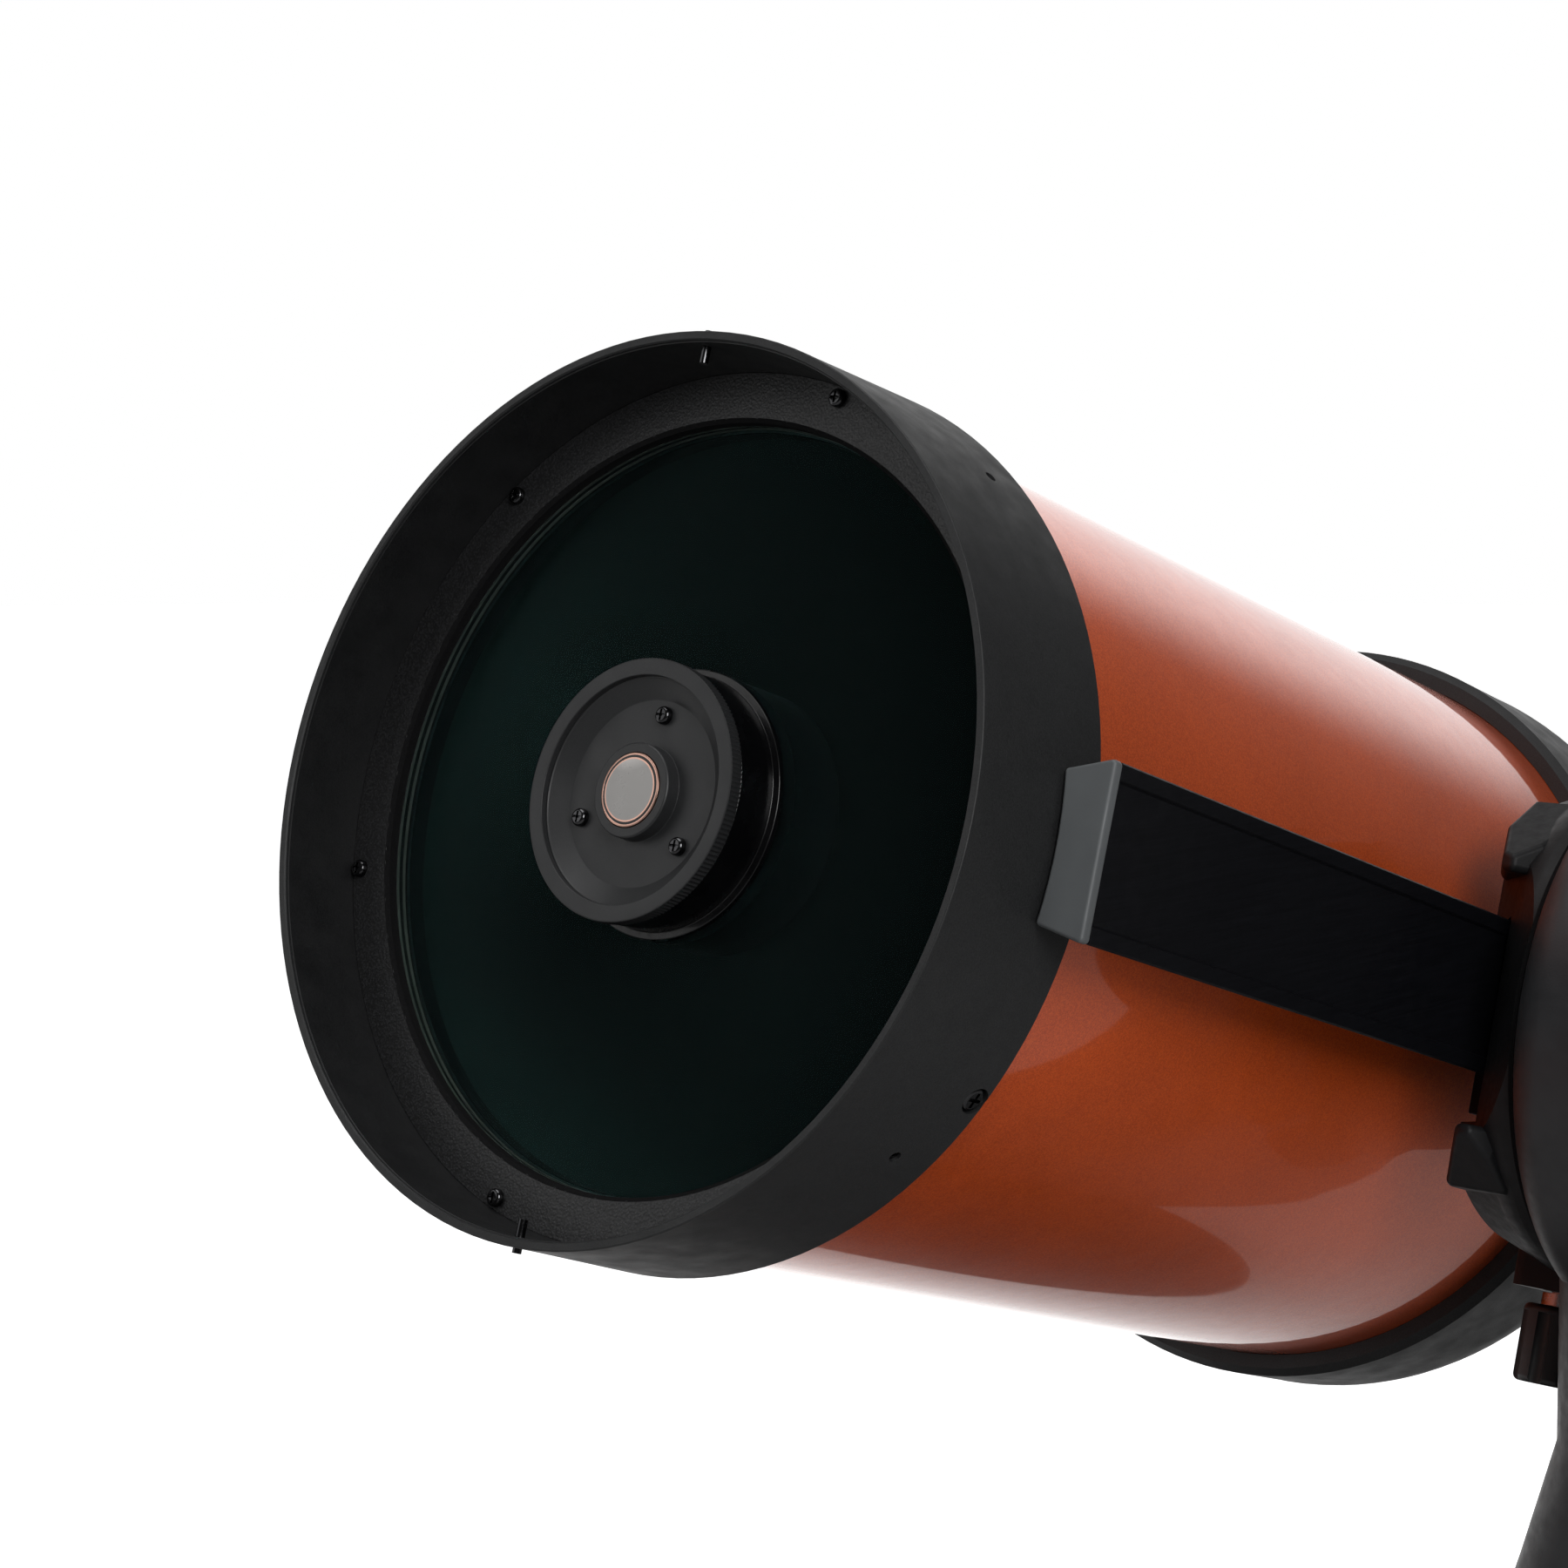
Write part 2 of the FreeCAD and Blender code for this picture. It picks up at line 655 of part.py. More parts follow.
def dovetail_bar():
    rail = BAR_HALF_OUTER - 4.3
    section = [(BAR_INNER, -BAR_HALF_INNER), (BAR_OUTER - 0.6, -BAR_HALF_OUTER + 0.1),
               (BAR_OUTER, -BAR_HALF_OUTER + 0.6), (BAR_OUTER, -rail), (BAR_OUTER - 1, -rail + 0.6),
               (BAR_OUTER - 1, rail - 0.6), (BAR_OUTER, rail), (BAR_OUTER, BAR_HALF_OUTER - 0.6),
               (BAR_OUTER - 0.6, BAR_HALF_OUTER - 0.1), (BAR_INNER, BAR_HALF_INNER)]
    points = [Vector(x, along(BAR_FRONT), z) for x, z in section]
    return prism(points, Y_AXIS * (BAR_REAR - BAR_FRONT)).cut(bar_screw_holes())


def dovetail_end_caps():
    caps = []
    for front in (BAR_FRONT - 3.45, BAR_REAR + 0.05):
        points = [Vector(x, along(front), z) for x, z in (
            (112, -17.5), (BAR_OUTER + 0.2, -21.8), (BAR_OUTER + 0.2, 21.8), (112, 17.5))]
        cap = prism(points, Y_AXIS * 3.4)
        cap = cap.makeFillet(1.2, [edge for edge in slab_edges(cap, Y_AXIS) if edge.CenterOfMass.x > 120])
        caps.append(cap.cut(rod(CELL_RADIUS + 0.1, Vector(0, along(20), 0), Vector(0, along(355), 0))))
    return group(caps)


def dovetail_screws():
    screws = []
    for depth, seat in BAR_SCREWS:
        for z in (-BAR_SCREW_Z, BAR_SCREW_Z):
            screws.append(screw(Vector(seat - 0.7, along(depth), z), -X_AXIS, 3.6, 2.6, 2.5, 125.5 - seat))
    return group(screws)


# ---- altitude saddle, its clamp and the altitude drive ----
def saddle_finger(side):
    """Tapered stop beside the channel, given its outline seen from the tube as (depth, z)."""
    plan = [(130, 214), (134, 212), (139.5, 219), (143, 231), (143, 250), (123, 250), (123, 227)]
    plate = prism([Vector(x, along(depth), -70) for x, depth in plan], Z_AXIS * 140)
    shape = plate.common(prism([Vector(115, along(depth), z) for depth, z in side], X_AXIS * 40))
    free = [edge for edge in shape.Edges if edge.CenterOfMass.y < along(234)]
    return shape.makeFillet(2.0, free)


def saddle():
    dome = lathe_x([
        (SHAFT_RADIUS + 0.02, SADDLE_FACE), (60, SADDLE_FACE), (63.5, 122.6), (68.2, 136),
        (69.8, 139.6, SADDLE_RADIUS, 143.5), (SADDLE_RADIUS, SADDLE_BACK),
        (SHAFT_RADIUS + 0.02, SADDLE_BACK)])
    chamfer = prism([Vector(120, along(234), -50), Vector(120, along(190), -50),
                     Vector(150, along(190), -50), Vector(150, along(203), -50)], Z_AXIS * 100)
    shape = dome.cut(chamfer)
    upper = saddle_finger([(212, 33), (212, 37), (238, 57), (252, 57), (252, 33)])
    lower = saddle_finger([(213, -36), (213, -39), (226, -52.5), (252, -52.5), (252, -36)])
    boss = rounded_block((125, CLAMP_Y - 17, -74.5), (146, CLAMP_Y + 17, -52), Z_AXIS, 5)
    shape = joined([shape, upper, lower, boss])
    channel = prism([Vector(115, along(200), bar_half(115) + BODY_GAP),
                     Vector(CHANNEL_FLOOR, along(200), bar_half(CHANNEL_FLOOR) + BODY_GAP),
                     Vector(CHANNEL_FLOOR, along(200), CHANNEL_BOTTOM),
                     Vector(115, along(200), CHANNEL_BOTTOM)], Y_AXIS * 150)
    bore = rod(SHAFT_RADIUS + 0.02, Vector(125, 0, 0), Vector(150, 0, 0))
    screw_hole = rod(4.0 + FIT, Vector(CLAMP_X, CLAMP_Y, -80), Vector(CLAMP_X, CLAMP_Y, -30))
    return shape.cut([channel, bore, screw_hole])


def clamp_jaw():
    top = 119.8
    bottom = CHANNEL_FLOOR - 0.3
    face = [Vector(top, along(238), -bar_half(top) - BODY_GAP),
            Vector(bottom, along(238), -bar_half(bottom) - BODY_GAP),
            Vector(bottom, along(238), -31.5), Vector(top, along(238), -31.5)]
    return prism(face, Y_AXIS * 74)


def clamp_screw():
    shank = rod(4.0, Vector(CLAMP_X, CLAMP_Y, -95), Vector(CLAMP_X, CLAMP_Y, CHANNEL_BOTTOM - 0.1))
    collar = rod(6.5, Vector(CLAMP_X, CLAMP_Y, -78.4), Vector(CLAMP_X, CLAMP_Y, -75.0))
    return joined([shank, collar])


def clamp_knob():
    top = Vector(CLAMP_X, CLAMP_Y, -78.5)
    knob = rod(10.8, top, top - Z_AXIS * 22)
    knob = knob.makeFillet(1.8, [edge for edge in knob.Edges if edge.Curve.TypeId == "Part::GeomCircle"])
    tools = [rod(4.0, top + Z_AXIS, Vector(CLAMP_X, CLAMP_Y, -95))]
    for number in range(8):
        centre = Rotation(Z_AXIS, 45 * number).multVec(X_AXIS) * 12.0
        tools.append(rod(2.6, top + centre - Z_AXIS * 2.2, top + centre - Z_AXIS * 23))
    return knob.cut(tools)


def altitude_shaft():
    return rod(SHAFT_RADIUS, Vector(CHANNEL_FLOOR + 0.3, 0, 0), Vector(200, 0, 0))


def altitude_worm_wheel():
    return toothed_wheel(ALT_WHEEL_RADIUS, WHEEL_TEETH, SHAFT_RADIUS + 0.02, Vector(184, 0, 0), X_AXIS, 8)


def altitude_bearings():
    rings = []
    for x in (152, 173):
        rings.append(pipe(21, SHAFT_RADIUS + FIT, Vector(x, 0, AXIS_HEIGHT), Vector(x + 7, 0, AXIS_HEIGHT)))
    return group(rings)


def altitude_worm():
    return worm(Vector(ALT_WORM_X, 0, ALT_WORM_Z), 14, 23.5, 9)


# ---- arm ----
ARM_SECTIONS = [
    (36, 92, 194, 76), (98, 100, 200, 67), (150, 112, 206, 59), (200, 123, 209, 55),
    (245, 137, 211, 54), (280, ARM_INNER, 212, 56), (332, ARM_INNER, 212, 57)]
ARM_POSTS = [(0, AXIS_HEIGHT + 62), (-52, AXIS_HEIGHT - 30), (52, AXIS_HEIGHT - 30), (0, 150)]
ARM_CORNER = 18.0


def arm_ring(z, low, high, half, corner):
    """Rounded rectangle of the arm's column at one height."""
    face = rounded_block((low, -half, z), (high, half, z + 1), Z_AXIS, corner).Faces
    bottom = min(face, key=lambda item: item.CenterOfMass.z)
    return bottom.OuterWire


def arm_volume(inset):
    """The arm's outer volume, moved in by an inset."""
    rings = []
    for number, (z, low, high, half) in enumerate(ARM_SECTIONS):
        height = z + inset if number == 0 else z
        rings.append(arm_ring(height, low + inset, high - inset, half - inset, ARM_CORNER - inset))
    column = Part.makeLoft(rings, True, True)
    head = rod(HEAD_RADIUS - inset, Vector(ARM_INNER + inset, 0, AXIS_HEIGHT),
               Vector(ARM_OUTER - inset, 0, AXIS_HEIGHT))
    rims = [edge for edge in head.Edges if edge.Curve.TypeId == "Part::GeomCircle"]
    head = head.makeFillet(11.0 - inset, rims)
    return column.fuse(head)


def drum_volume(inset):
    outer = DRUM_RADIUS - inset
    top = DRUM_TOP - inset
    corner = 14.0 - inset
    middle = corner * (1 - math.sqrt(0.5))
    return lathe_z([
        (0, DRUM_BOTTOM), (outer, DRUM_BOTTOM), (outer, top - corner),
        (outer - middle, top - middle, outer - corner, top), (0, top)])


def arm_half(low, high):
    """The arm's hollow shell between two x planes, trimmed where it meets the drum."""
    shell = arm_volume(0).common(block((low, -120, 20), (high, 120, 500)))
    bore = rod(28, Vector(ARM_INNER - 5, 0, AXIS_HEIGHT), Vector(ARM_INNER + 5, 0, AXIS_HEIGHT))
    return shell.cut([arm_volume(WALL), drum_volume(0), bore])


def arm_inner_shell():
    return arm_half(60, ARM_SPLIT)


def arm_outer_shell():
    shell = arm_half(ARM_SPLIT, 230)
    holes = []
    for y, z in ARM_POSTS:
        holes.append(rod(2.2, Vector(195, y, z), Vector(220, y, z)))
        holes.append(rod(4.0, Vector(post_top(z) + 2.0, y, z), Vector(220, y, z)))
    return shell.cut(holes)


def post_top(z):
    """X where a post meets the inside of the outer shell."""
    return 210.9 if z > 300 else 202.3


def arm_frame():
    foot = block((62, -38, PLATE_TOP + 0.02), (166, 38, 66))
    upright = block((156, -38, PLATE_TOP + 0.02), (166, 38, 350))
    head = rod(50, Vector(156, 0, AXIS_HEIGHT), Vector(166, 0, AXIS_HEIGHT))
    hub = rod(26, Vector(151.5, 0, AXIS_HEIGHT), Vector(181, 0, AXIS_HEIGHT))
    wings = block((156, -58, AXIS_HEIGHT - 36), (166, 58, AXIS_HEIGHT - 22))
    mast = block((156, -8, AXIS_HEIGHT), (166, 8, AXIS_HEIGHT + 68))
    pieces = [foot, upright, head, hub, wings, mast]
    for y, z in ARM_POSTS:
        pieces.append(rod(5, Vector(160, y, z), Vector(post_top(z), y, z)))
    for y in (-21, 18):
        pieces.append(block((160, y, ALT_WORM_Z - 9), (198, y + 3, ALT_WORM_Z + 8)))
    shape = joined(pieces)
    tools = [rod(21.02, Vector(150, 0, AXIS_HEIGHT), Vector(182, 0, AXIS_HEIGHT))]
    tools.append(rod(JOURNAL + FIT, Vector(ALT_WORM_X, -25, ALT_WORM_Z), Vector(ALT_WORM_X, 25, ALT_WORM_Z)))
    for y, z in ARM_POSTS:
        tools.append(rod(1.6, Vector(post_top(z) - 12, y, z), Vector(220, y, z)))
    tools.append(block((154, -22, 90), (168, 22, 140)))
    tools.append(block((154, -22, 170), (168, 22, 290)))
    return shape.cut(tools)


def arm_screws():
    screws = []
    for y, z in ARM_POSTS:
        seat = Vector(post_top(z) + 2.0, y, z)
        screws.append(screw(seat, X_AXIS, 3.6, 2.2, 1.55, 13))
    return group(screws)


def drive_motors():
    motors = []
    for x, z in ((ALT_WORM_X, ALT_WORM_Z), (AZ_WORM_X, AZ_WORM_Z)):
        can = rod(10.5, Vector(x, 24, z), Vector(x, 48, z))
        motors.append(can)
    return group(motors)


# ---- azimuth turntable ----
DOOR_LOW = (-100.0, -40.0)
DOOR_HIGH = (-12.0, 40.0)
DOOR_SEAT = 96.4
PANEL_FACE = 117.0
PANEL_BACK = 105.0
SOCKET_X = (-28.0, -12.0, 4.0)
SWITCH_X = 26.0
SWITCH_Z = 66.0


def door_block(grow, low_z, high_z, corner):
    low = (DOOR_LOW[0] - grow, DOOR_LOW[1] - grow, low_z)
    high = (DOOR_HIGH[0] + grow, DOOR_HIGH[1] + grow, high_z)
    return rounded_block(low, high, Z_AXIS, corner)


def turntable_cover():
    shell = drum_volume(0).cut([drum_volume(WALL), arm_volume(WALL)])
    bezel = block((-41, PANEL_BACK, 45), (41, 124, 87)).common(drum_volume(0))
    shell = joined([shell, bezel])
    tools = [block((-38, PANEL_BACK - 1, 48), (38, 140, 84))]
    tools.append(door_block(BODY_GAP, DOOR_SEAT, 99, 12.35))
    tools.append(door_block(-3, 90, 99, 9))
    return shell.cut(tools)


def battery_door():
    door = door_block(0, DOOR_SEAT + BODY_GAP, DRUM_TOP + 0.4, 12)
    grip = rounded_block((-30, -14, DRUM_TOP - 0.6), (-18, 14, DRUM_TOP + 1), Z_AXIS, 4)
    return door.cut(grip)


def turntable_plate():
    disc = lathe_z([
        (SPINDLE_RADIUS + FIT, 49), (20, 49), (20, PLATE_BOTTOM), (127.9, PLATE_BOTTOM),
        (127.9, PLATE_TOP), (SPINDLE_RADIUS + FIT, PLATE_TOP)])
    pieces = [disc]
    for y in (-21, 18):
        pieces.append(block((AZ_WORM_X - 8.5, y, 33.5), (AZ_WORM_X + 7.7, y + 3, PLATE_BOTTOM + 1)))
    pieces.append(block((AZ_WORM_X - 8, 28, AZ_WORM_Z + 5), (AZ_WORM_X + 8, 44, PLATE_BOTTOM + 1)))
    shape = joined(pieces)
    axle = rod(JOURNAL + FIT, Vector(AZ_WORM_X, -25, AZ_WORM_Z), Vector(AZ_WORM_X, 25, AZ_WORM_Z))
    motor = rod(10.5, Vector(AZ_WORM_X, 24, AZ_WORM_Z), Vector(AZ_WORM_X, 48, AZ_WORM_Z))
    notch = block((-41.1, PANEL_BACK - 0.1, 50), (41.1, 130, 65))
    return shape.cut([axle, motor, notch])


def port_panel():
    panel = block((-37.9, PANEL_BACK, 48.1), (37.9, PANEL_FACE, 83.9))
    tools = []
    for x in SOCKET_X:
        tools.append(block((x - 5.8, PANEL_BACK + 2, 61.5), (x + 5.8, PANEL_FACE + 1, 70.5)))
    tools.append(block((SWITCH_X - 5, PANEL_BACK - 1, SWITCH_Z - 8), (SWITCH_X + 5, PANEL_FACE + 1, SWITCH_Z + 8)))
    inlet = pipe(3.2, 1.0, Vector(14.5, PANEL_BACK + 2, 66), Vector(14.5, PANEL_FACE + 1, 66))
    tools.append(inlet)
    return panel.cut(tools)


def power_switch():
    middle = Vector(SWITCH_X, 114.0, SWITCH_Z)
    shape = rod(7.5, middle - X_AXIS * 4.6, middle + X_AXIS * 4.6)
    for side in (-1, 1):
        lip = [Vector(SWITCH_X - 6, 118.4, SWITCH_Z), Vector(SWITCH_X - 6, 120.2, SWITCH_Z + 9 * side),
               Vector(SWITCH_X - 6, 125, SWITCH_Z + 9 * side), Vector(SWITCH_X - 6, 125, SWITCH_Z)]
        shape = shape.cut(prism(lip, X_AXIS * 12))
    return shape.cut(block((SWITCH_X - 6, 100, SWITCH_Z - 9), (SWITCH_X + 6, 110, SWITCH_Z + 9)))


def azimuth_worm():
    return worm(Vector(AZ_WORM_X, 0, AZ_WORM_Z), 14, 23.5, 7)


# ---- fixed base ----
def base_casting():
    shell = lathe_z([
        (8, 5), (118, 5), (BASE_RADIUS, 12), (BASE_RADIUS, BASE_TOP), (121, BASE_TOP), (121, 12),
        (117, 10), (14, 10), (14, 48), (SPINDLE_RADIUS, 48), (SPINDLE_RADIUS, 72), (0, 72), (0, 17), (8, 17)])
    pieces = [shell]
    holes = []
    for number in range(3):
        spoke = Rotation(Z_AXIS, 90 + 120 * number).multVec(X_AXIS) * TRIPOD_CIRCLE
        pieces.append(rod(14, spoke, spoke + Z_AXIS * 27))
        holes.append(rod(TRIPOD_HOLE, spoke - Z_AXIS, spoke + Z_AXIS * 24))
    return joined(pieces).cut(holes)


def azimuth_worm_wheel():
    return toothed_wheel(AZ_WHEEL_RADIUS, WHEEL_TEETH, 14.02, Vector(0, 0, 38), Z_AXIS, 6)


TUBE_PARTS = [
    front_cell, corrector_ring, ring_screws, cell_screws, centring_screws, cap_pins, corrector_plate,
    secondary_holder, secondary_ring, secondary_cell, collimation_screws, secondary_badge,
    secondary_mirror, secondary_baffle, tube_shell, rear_cell, baffle_tube, primary_mirror,
    mirror_carrier, focus_knob, focus_screw, focuser_retainer, visual_back, back_thumbscrew,
    diagonal_body, diagonal_nose, diagonal_mirror, diagonal_thumbscrew, eyepiece_barrel,
    eyepiece_body, eyepiece_lenses, eyecup, finder_bracket, finder_body, finder_window, finder_knob,
    dovetail_bar, dovetail_end_caps, dovetail_screws, saddle, clamp_jaw, clamp_screw, clamp_knob,
    altitude_shaft, altitude_worm_wheel]
MOUNT_PARTS = [
    altitude_bearings, altitude_worm, arm_inner_shell, arm_outer_shell, arm_frame, arm_screws,
    drive_motors, turntable_cover, battery_door, turntable_plate, port_panel, power_switch,
    azimuth_worm, base_casting, azimuth_worm_wheel]

for build in TUBE_PARTS:
    save_tube(build.__name__, build())
for build in MOUNT_PARTS:
    save(build.__name__, build())
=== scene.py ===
import json
import math

import bpy
import bmesh
from mathutils import Matrix, Vector


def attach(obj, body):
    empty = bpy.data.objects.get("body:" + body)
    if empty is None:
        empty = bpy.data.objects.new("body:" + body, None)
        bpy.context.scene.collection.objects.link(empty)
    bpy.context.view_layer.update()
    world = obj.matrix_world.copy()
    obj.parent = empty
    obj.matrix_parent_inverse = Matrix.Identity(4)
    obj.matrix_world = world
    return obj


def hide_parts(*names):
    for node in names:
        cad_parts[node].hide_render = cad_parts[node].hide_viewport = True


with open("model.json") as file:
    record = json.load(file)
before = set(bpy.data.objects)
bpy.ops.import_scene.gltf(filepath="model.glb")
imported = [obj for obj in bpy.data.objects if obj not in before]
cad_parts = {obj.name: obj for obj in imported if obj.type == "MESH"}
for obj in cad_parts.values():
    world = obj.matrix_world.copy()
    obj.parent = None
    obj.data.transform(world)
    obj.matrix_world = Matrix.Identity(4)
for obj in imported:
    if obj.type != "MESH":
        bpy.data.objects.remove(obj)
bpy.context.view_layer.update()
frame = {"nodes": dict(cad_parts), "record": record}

NODES = frame["nodes"]

# ---- the telescope's own places, metres and radians ----
AXIS_HEIGHT = 0.385  # altitude axis above the floor
RIM_AHEAD = 0.275  # front rim ahead of the altitude axis
ALTITUDE = math.radians(17.5)
MM = 0.001

# profiles are given in mm across the axis and behind the rim, or along the altitude axis
AXIS_PLACE = Matrix.Translation((0, 0, AXIS_HEIGHT))
TUBE_PLACE = AXIS_PLACE @ Matrix.Rotation(-ALTITUDE, 4, "X") @ Matrix.Translation((0, -RIM_AHEAD, 0))
SADDLE_PLACE = AXIS_PLACE @ Matrix.Rotation(math.radians(-90), 4, "Z")


# ---- materials ----
class Surface:
    """A Principled material whose patterns are laid out in the object's own space, sizes in mm."""

    def __init__(self, name, roughness, metallic=0.0, **sockets):
        self.material = bpy.data.materials.new(name)
        self.material.use_nodes = True
        self.tree = self.material.node_tree
        self.shader = self.tree.nodes["Principled BSDF"]
        self.set("Roughness", roughness)
        self.set("Metallic", metallic)
        for socket, value in sockets.items():
            self.set(socket.replace("_", " "), value)
        self.place = self.tree.nodes.new("ShaderNodeTexCoord").outputs["Object"]

    def set(self, socket, value):
        self.shader.inputs[socket].default_value = value

    def node(self, kind, links=(), **values):
        made = self.tree.nodes.new(kind)
        for name, value in values.items():
            setattr(made, name, value)
        for socket, value in dict(links).items():
            if isinstance(value, bpy.types.NodeSocket):
                self.tree.links.new(value, made.inputs[socket])
            else:
                made.inputs[socket].default_value = value
        return made

    def noise(self, size, detail=3.0, roughness=0.55, place=None):
        made = self.node("ShaderNodeTexNoise", {
            "Vector": place or self.place, "Scale": 1000.0 / size, "Detail": detail, "Roughness": roughness})
        return made.outputs["Fac"]

    def cells(self, size, output="Color", feature="F1"):
        links = {"Vector": self.place, "Scale": 1000.0 / size}
        return self.node("ShaderNodeTexVoronoi", links, feature=feature).outputs[output]

    def stretched(self, along, factor):
        """Coordinates squeezed along one axis, for brushing and grain."""
        scale = [1.0, 1.0, 1.0]
        scale[along] = factor
        return self.node("ShaderNodeMapping", {"Vector": self.place, "Scale": scale}).outputs["Vector"]

    def spread(self, source, low, high, start=0.3, end=0.7):
        made = self.node("ShaderNodeMapRange", {
            "Value": source, "From Min": start, "From Max": end, "To Min": low, "To Max": high})
        return made.outputs["Result"]

    def blend(self, source, dark, light):
        made = self.node("ShaderNodeMix", data_type="RGBA")
        made.inputs[6].default_value = (*dark, 1)
        made.inputs[7].default_value = (*light, 1)
        self.tree.links.new(source, made.inputs[0])
        return made.outputs[2]

    def colour(self, output):
        self.tree.links.new(output, self.shader.inputs["Base Color"])

    def rough(self, output):
        self.tree.links.new(output, self.shader.inputs["Roughness"])

    def bump(self, height, depth_mm, strength=1.0, under=None):
        links = {"Height": height, "Distance": depth_mm * MM, "Strength": strength}
        if under is not None:
            links["Normal"] = under
        made = self.node("ShaderNodeBump", links)
        self.tree.links.new(made.outputs["Normal"], self.shader.inputs["Normal"])
        return made.outputs["Normal"]


def orange_paint():
    """Metallic orange under a glossy clear coat, with fine flake."""
    s = Surface("orange_paint", 0.36, 0.55, Coat_Weight=1.0, Coat_Roughness=0.035, Coat_IOR=1.5)
    flake = s.cells(0.32)
    sparkle = s.node("ShaderNodeSeparateColor", {"Color": flake}).outputs["Red"]
    cloud = s.noise(38, 2.0)
    base = s.blend(s.spread(cloud, 0.0, 1.0), (0.80, 0.092, 0.006), (0.94, 0.113, 0.008))
    glint = s.blend(s.spread(sparkle, 0.0, 1.0, 0.1, 0.95), (0.54, 0.055, 0.004), (1.0, 0.185, 0.022))
    mixed = s.node("ShaderNodeMix", {0: 0.42}, data_type="RGBA")
    s.tree.links.new(base, mixed.inputs[6])
    s.tree.links.new(glint, mixed.inputs[7])
    s.colour(mixed.outputs[2])
    s.rough(s.spread(s.noise(6), 0.33, 0.40))
    s.bump(sparkle, 0.012, 0.55)
    return s.material


def powder_coat(name, dark, light, grain=0.42, depth=0.045, rough=(0.46, 0.6)):
    """Fine textured matte coating on a casting."""
    s = Surface(name, 0.52, Specular_IOR_Level=0.42)
    fine = s.noise(grain, 4.0, 0.6)
    s.colour(s.blend(s.spread(fine, 0.0, 1.0, 0.35, 0.68), dark, light))
    s.rough(s.spread(s.noise(9, 3.0), rough[0], rough[1]))
    wide = s.bump(s.noise(7, 2.0), 0.05, 0.25)
    s.bump(fine, depth, 0.8, wide)
    return s.material


def crinkle(name, dark, light):
    """Coarser leather-like paint of the retaining ring."""
    s = Surface(name, 0.5, Specular_IOR_Level=0.55)
    lumps = s.cells(0.62, "Distance", "SMOOTH_F1")
    fine = s.noise(0.34, 3.0)
    s.colour(s.blend(s.spread(lumps, 1.0, 0.0, 0.1, 0.5), dark, light))
    s.rough(s.spread(fine, 0.32, 0.6))
    s.bump(fine, 0.05, 0.7, s.bump(lumps, -0.11, 1.0))
    return s.material


def moulded(name, dark, light, grain=0.55, depth=0.03, specular=0.45):
    """Spark-eroded texture of a moulded plastic shell."""
    s = Surface(name, 0.5, Specular_IOR_Level=specular)
    pits = s.cells(grain, "Distance", "SMOOTH_F1")
    cloud = s.noise(24, 3.0)
    s.colour(s.blend(s.spread(cloud, 0.0, 1.0), dark, light))
    s.rough(s.spread(s.noise(3.2, 4.0), 0.42, 0.56))
    s.bump(pits, depth, 0.7, s.bump(cloud, 0.12, 0.15))
    return s.material


def anodised(name, dark, light):
    """Extruded and anodised aluminium: faint lines along the extrusion."""
    s = Surface(name, 0.45, 0.0, Specular_IOR_Level=0.11)
    lines = s.noise(0.35, 2.0, 0.5, s.stretched(1, 0.02))
    s.colour(s.blend(s.spread(lines, 0.0, 1.0), dark, light))
    s.rough(s.spread(s.noise(5), 0.4, 0.52))
    s.bump(s.noise(0.25, 2.0), 0.01, 0.5, s.bump(lines, 0.012, 0.5))
    return s.material


def gloss_black(name, rough, base):
    s = Surface(name, rough, 0.0, Specular_IOR_Level=0.36, Coat_Weight=0.18, Coat_Roughness=0.06)
    smear = s.noise(11, 4.0)
    s.colour(s.blend(s.spread(smear, 0.0, 1.0), base, tuple(v * 1.7 for v in base)))
    s.rough(s.spread(smear, rough * 0.8, rough * 1.5))
    s.bump(s.noise(1.4, 2.0), 0.006, 0.4)
    return s.material


def bare_metal(name, dark, light, rough=(0.16, 0.3), along=None, depth=0.008):
    """Machined or brushed metal with fine tool lines."""
    s = Surface(name, rough[0], 1.0)
    place = None if along is None else s.stretched(along, 0.03)
    lines = s.noise(0.2, 3.0, 0.6, place)
    s.colour(s.blend(s.spread(s.noise(14, 3.0), 0.0, 1.0), dark, light))
    s.rough(s.spread(s.noise(2.5, 4.0), rough[0], rough[1]))
    s.bump(lines, depth, 0.5)
    return s.material


def coated_mirror():
    s = Surface("mirror_coat", 0.02, 1.0)
    haze = s.noise(30, 2.0)
    s.colour(s.blend(s.spread(haze, 0.0, 1.0), (0.86, 0.87, 0.88), (0.91, 0.92, 0.92)))
    s.rough(s.spread(s.noise(2.0, 5.0), 0.012, 0.05))
    return s.material


def coated_glass(name, tint, ior=1.3, clear=1.0, sheen=(1.0, 1.0, 1.0)):
    """Anti-reflection coated glass: little reflection, faint colour of the coating."""
    s = Surface(name, 0.0, 0.0, Transmission_Weight=clear, IOR=ior, Specular_Tint=(*sheen, 1.0))
    dust = s.noise(7, 5.0, 0.7)
    s.colour(s.blend(s.spread(dust, 0.0, 1.0), tint, tuple(min(1.0, v * 1.06) for v in tint)))
    s.rough(s.spread(dust, 0.0, 0.012))
    return s.material


def flat_black(name, dark, light):
    s = Surface(name, 0.9, 0.0, Specular_IOR_Level=0.12)
    fine = s.noise(0.5, 3.0)
    s.colour(s.blend(s.spread(fine, 0.0, 1.0), dark, light))
    s.bump(fine, 0.05, 0.6)
    return s.material


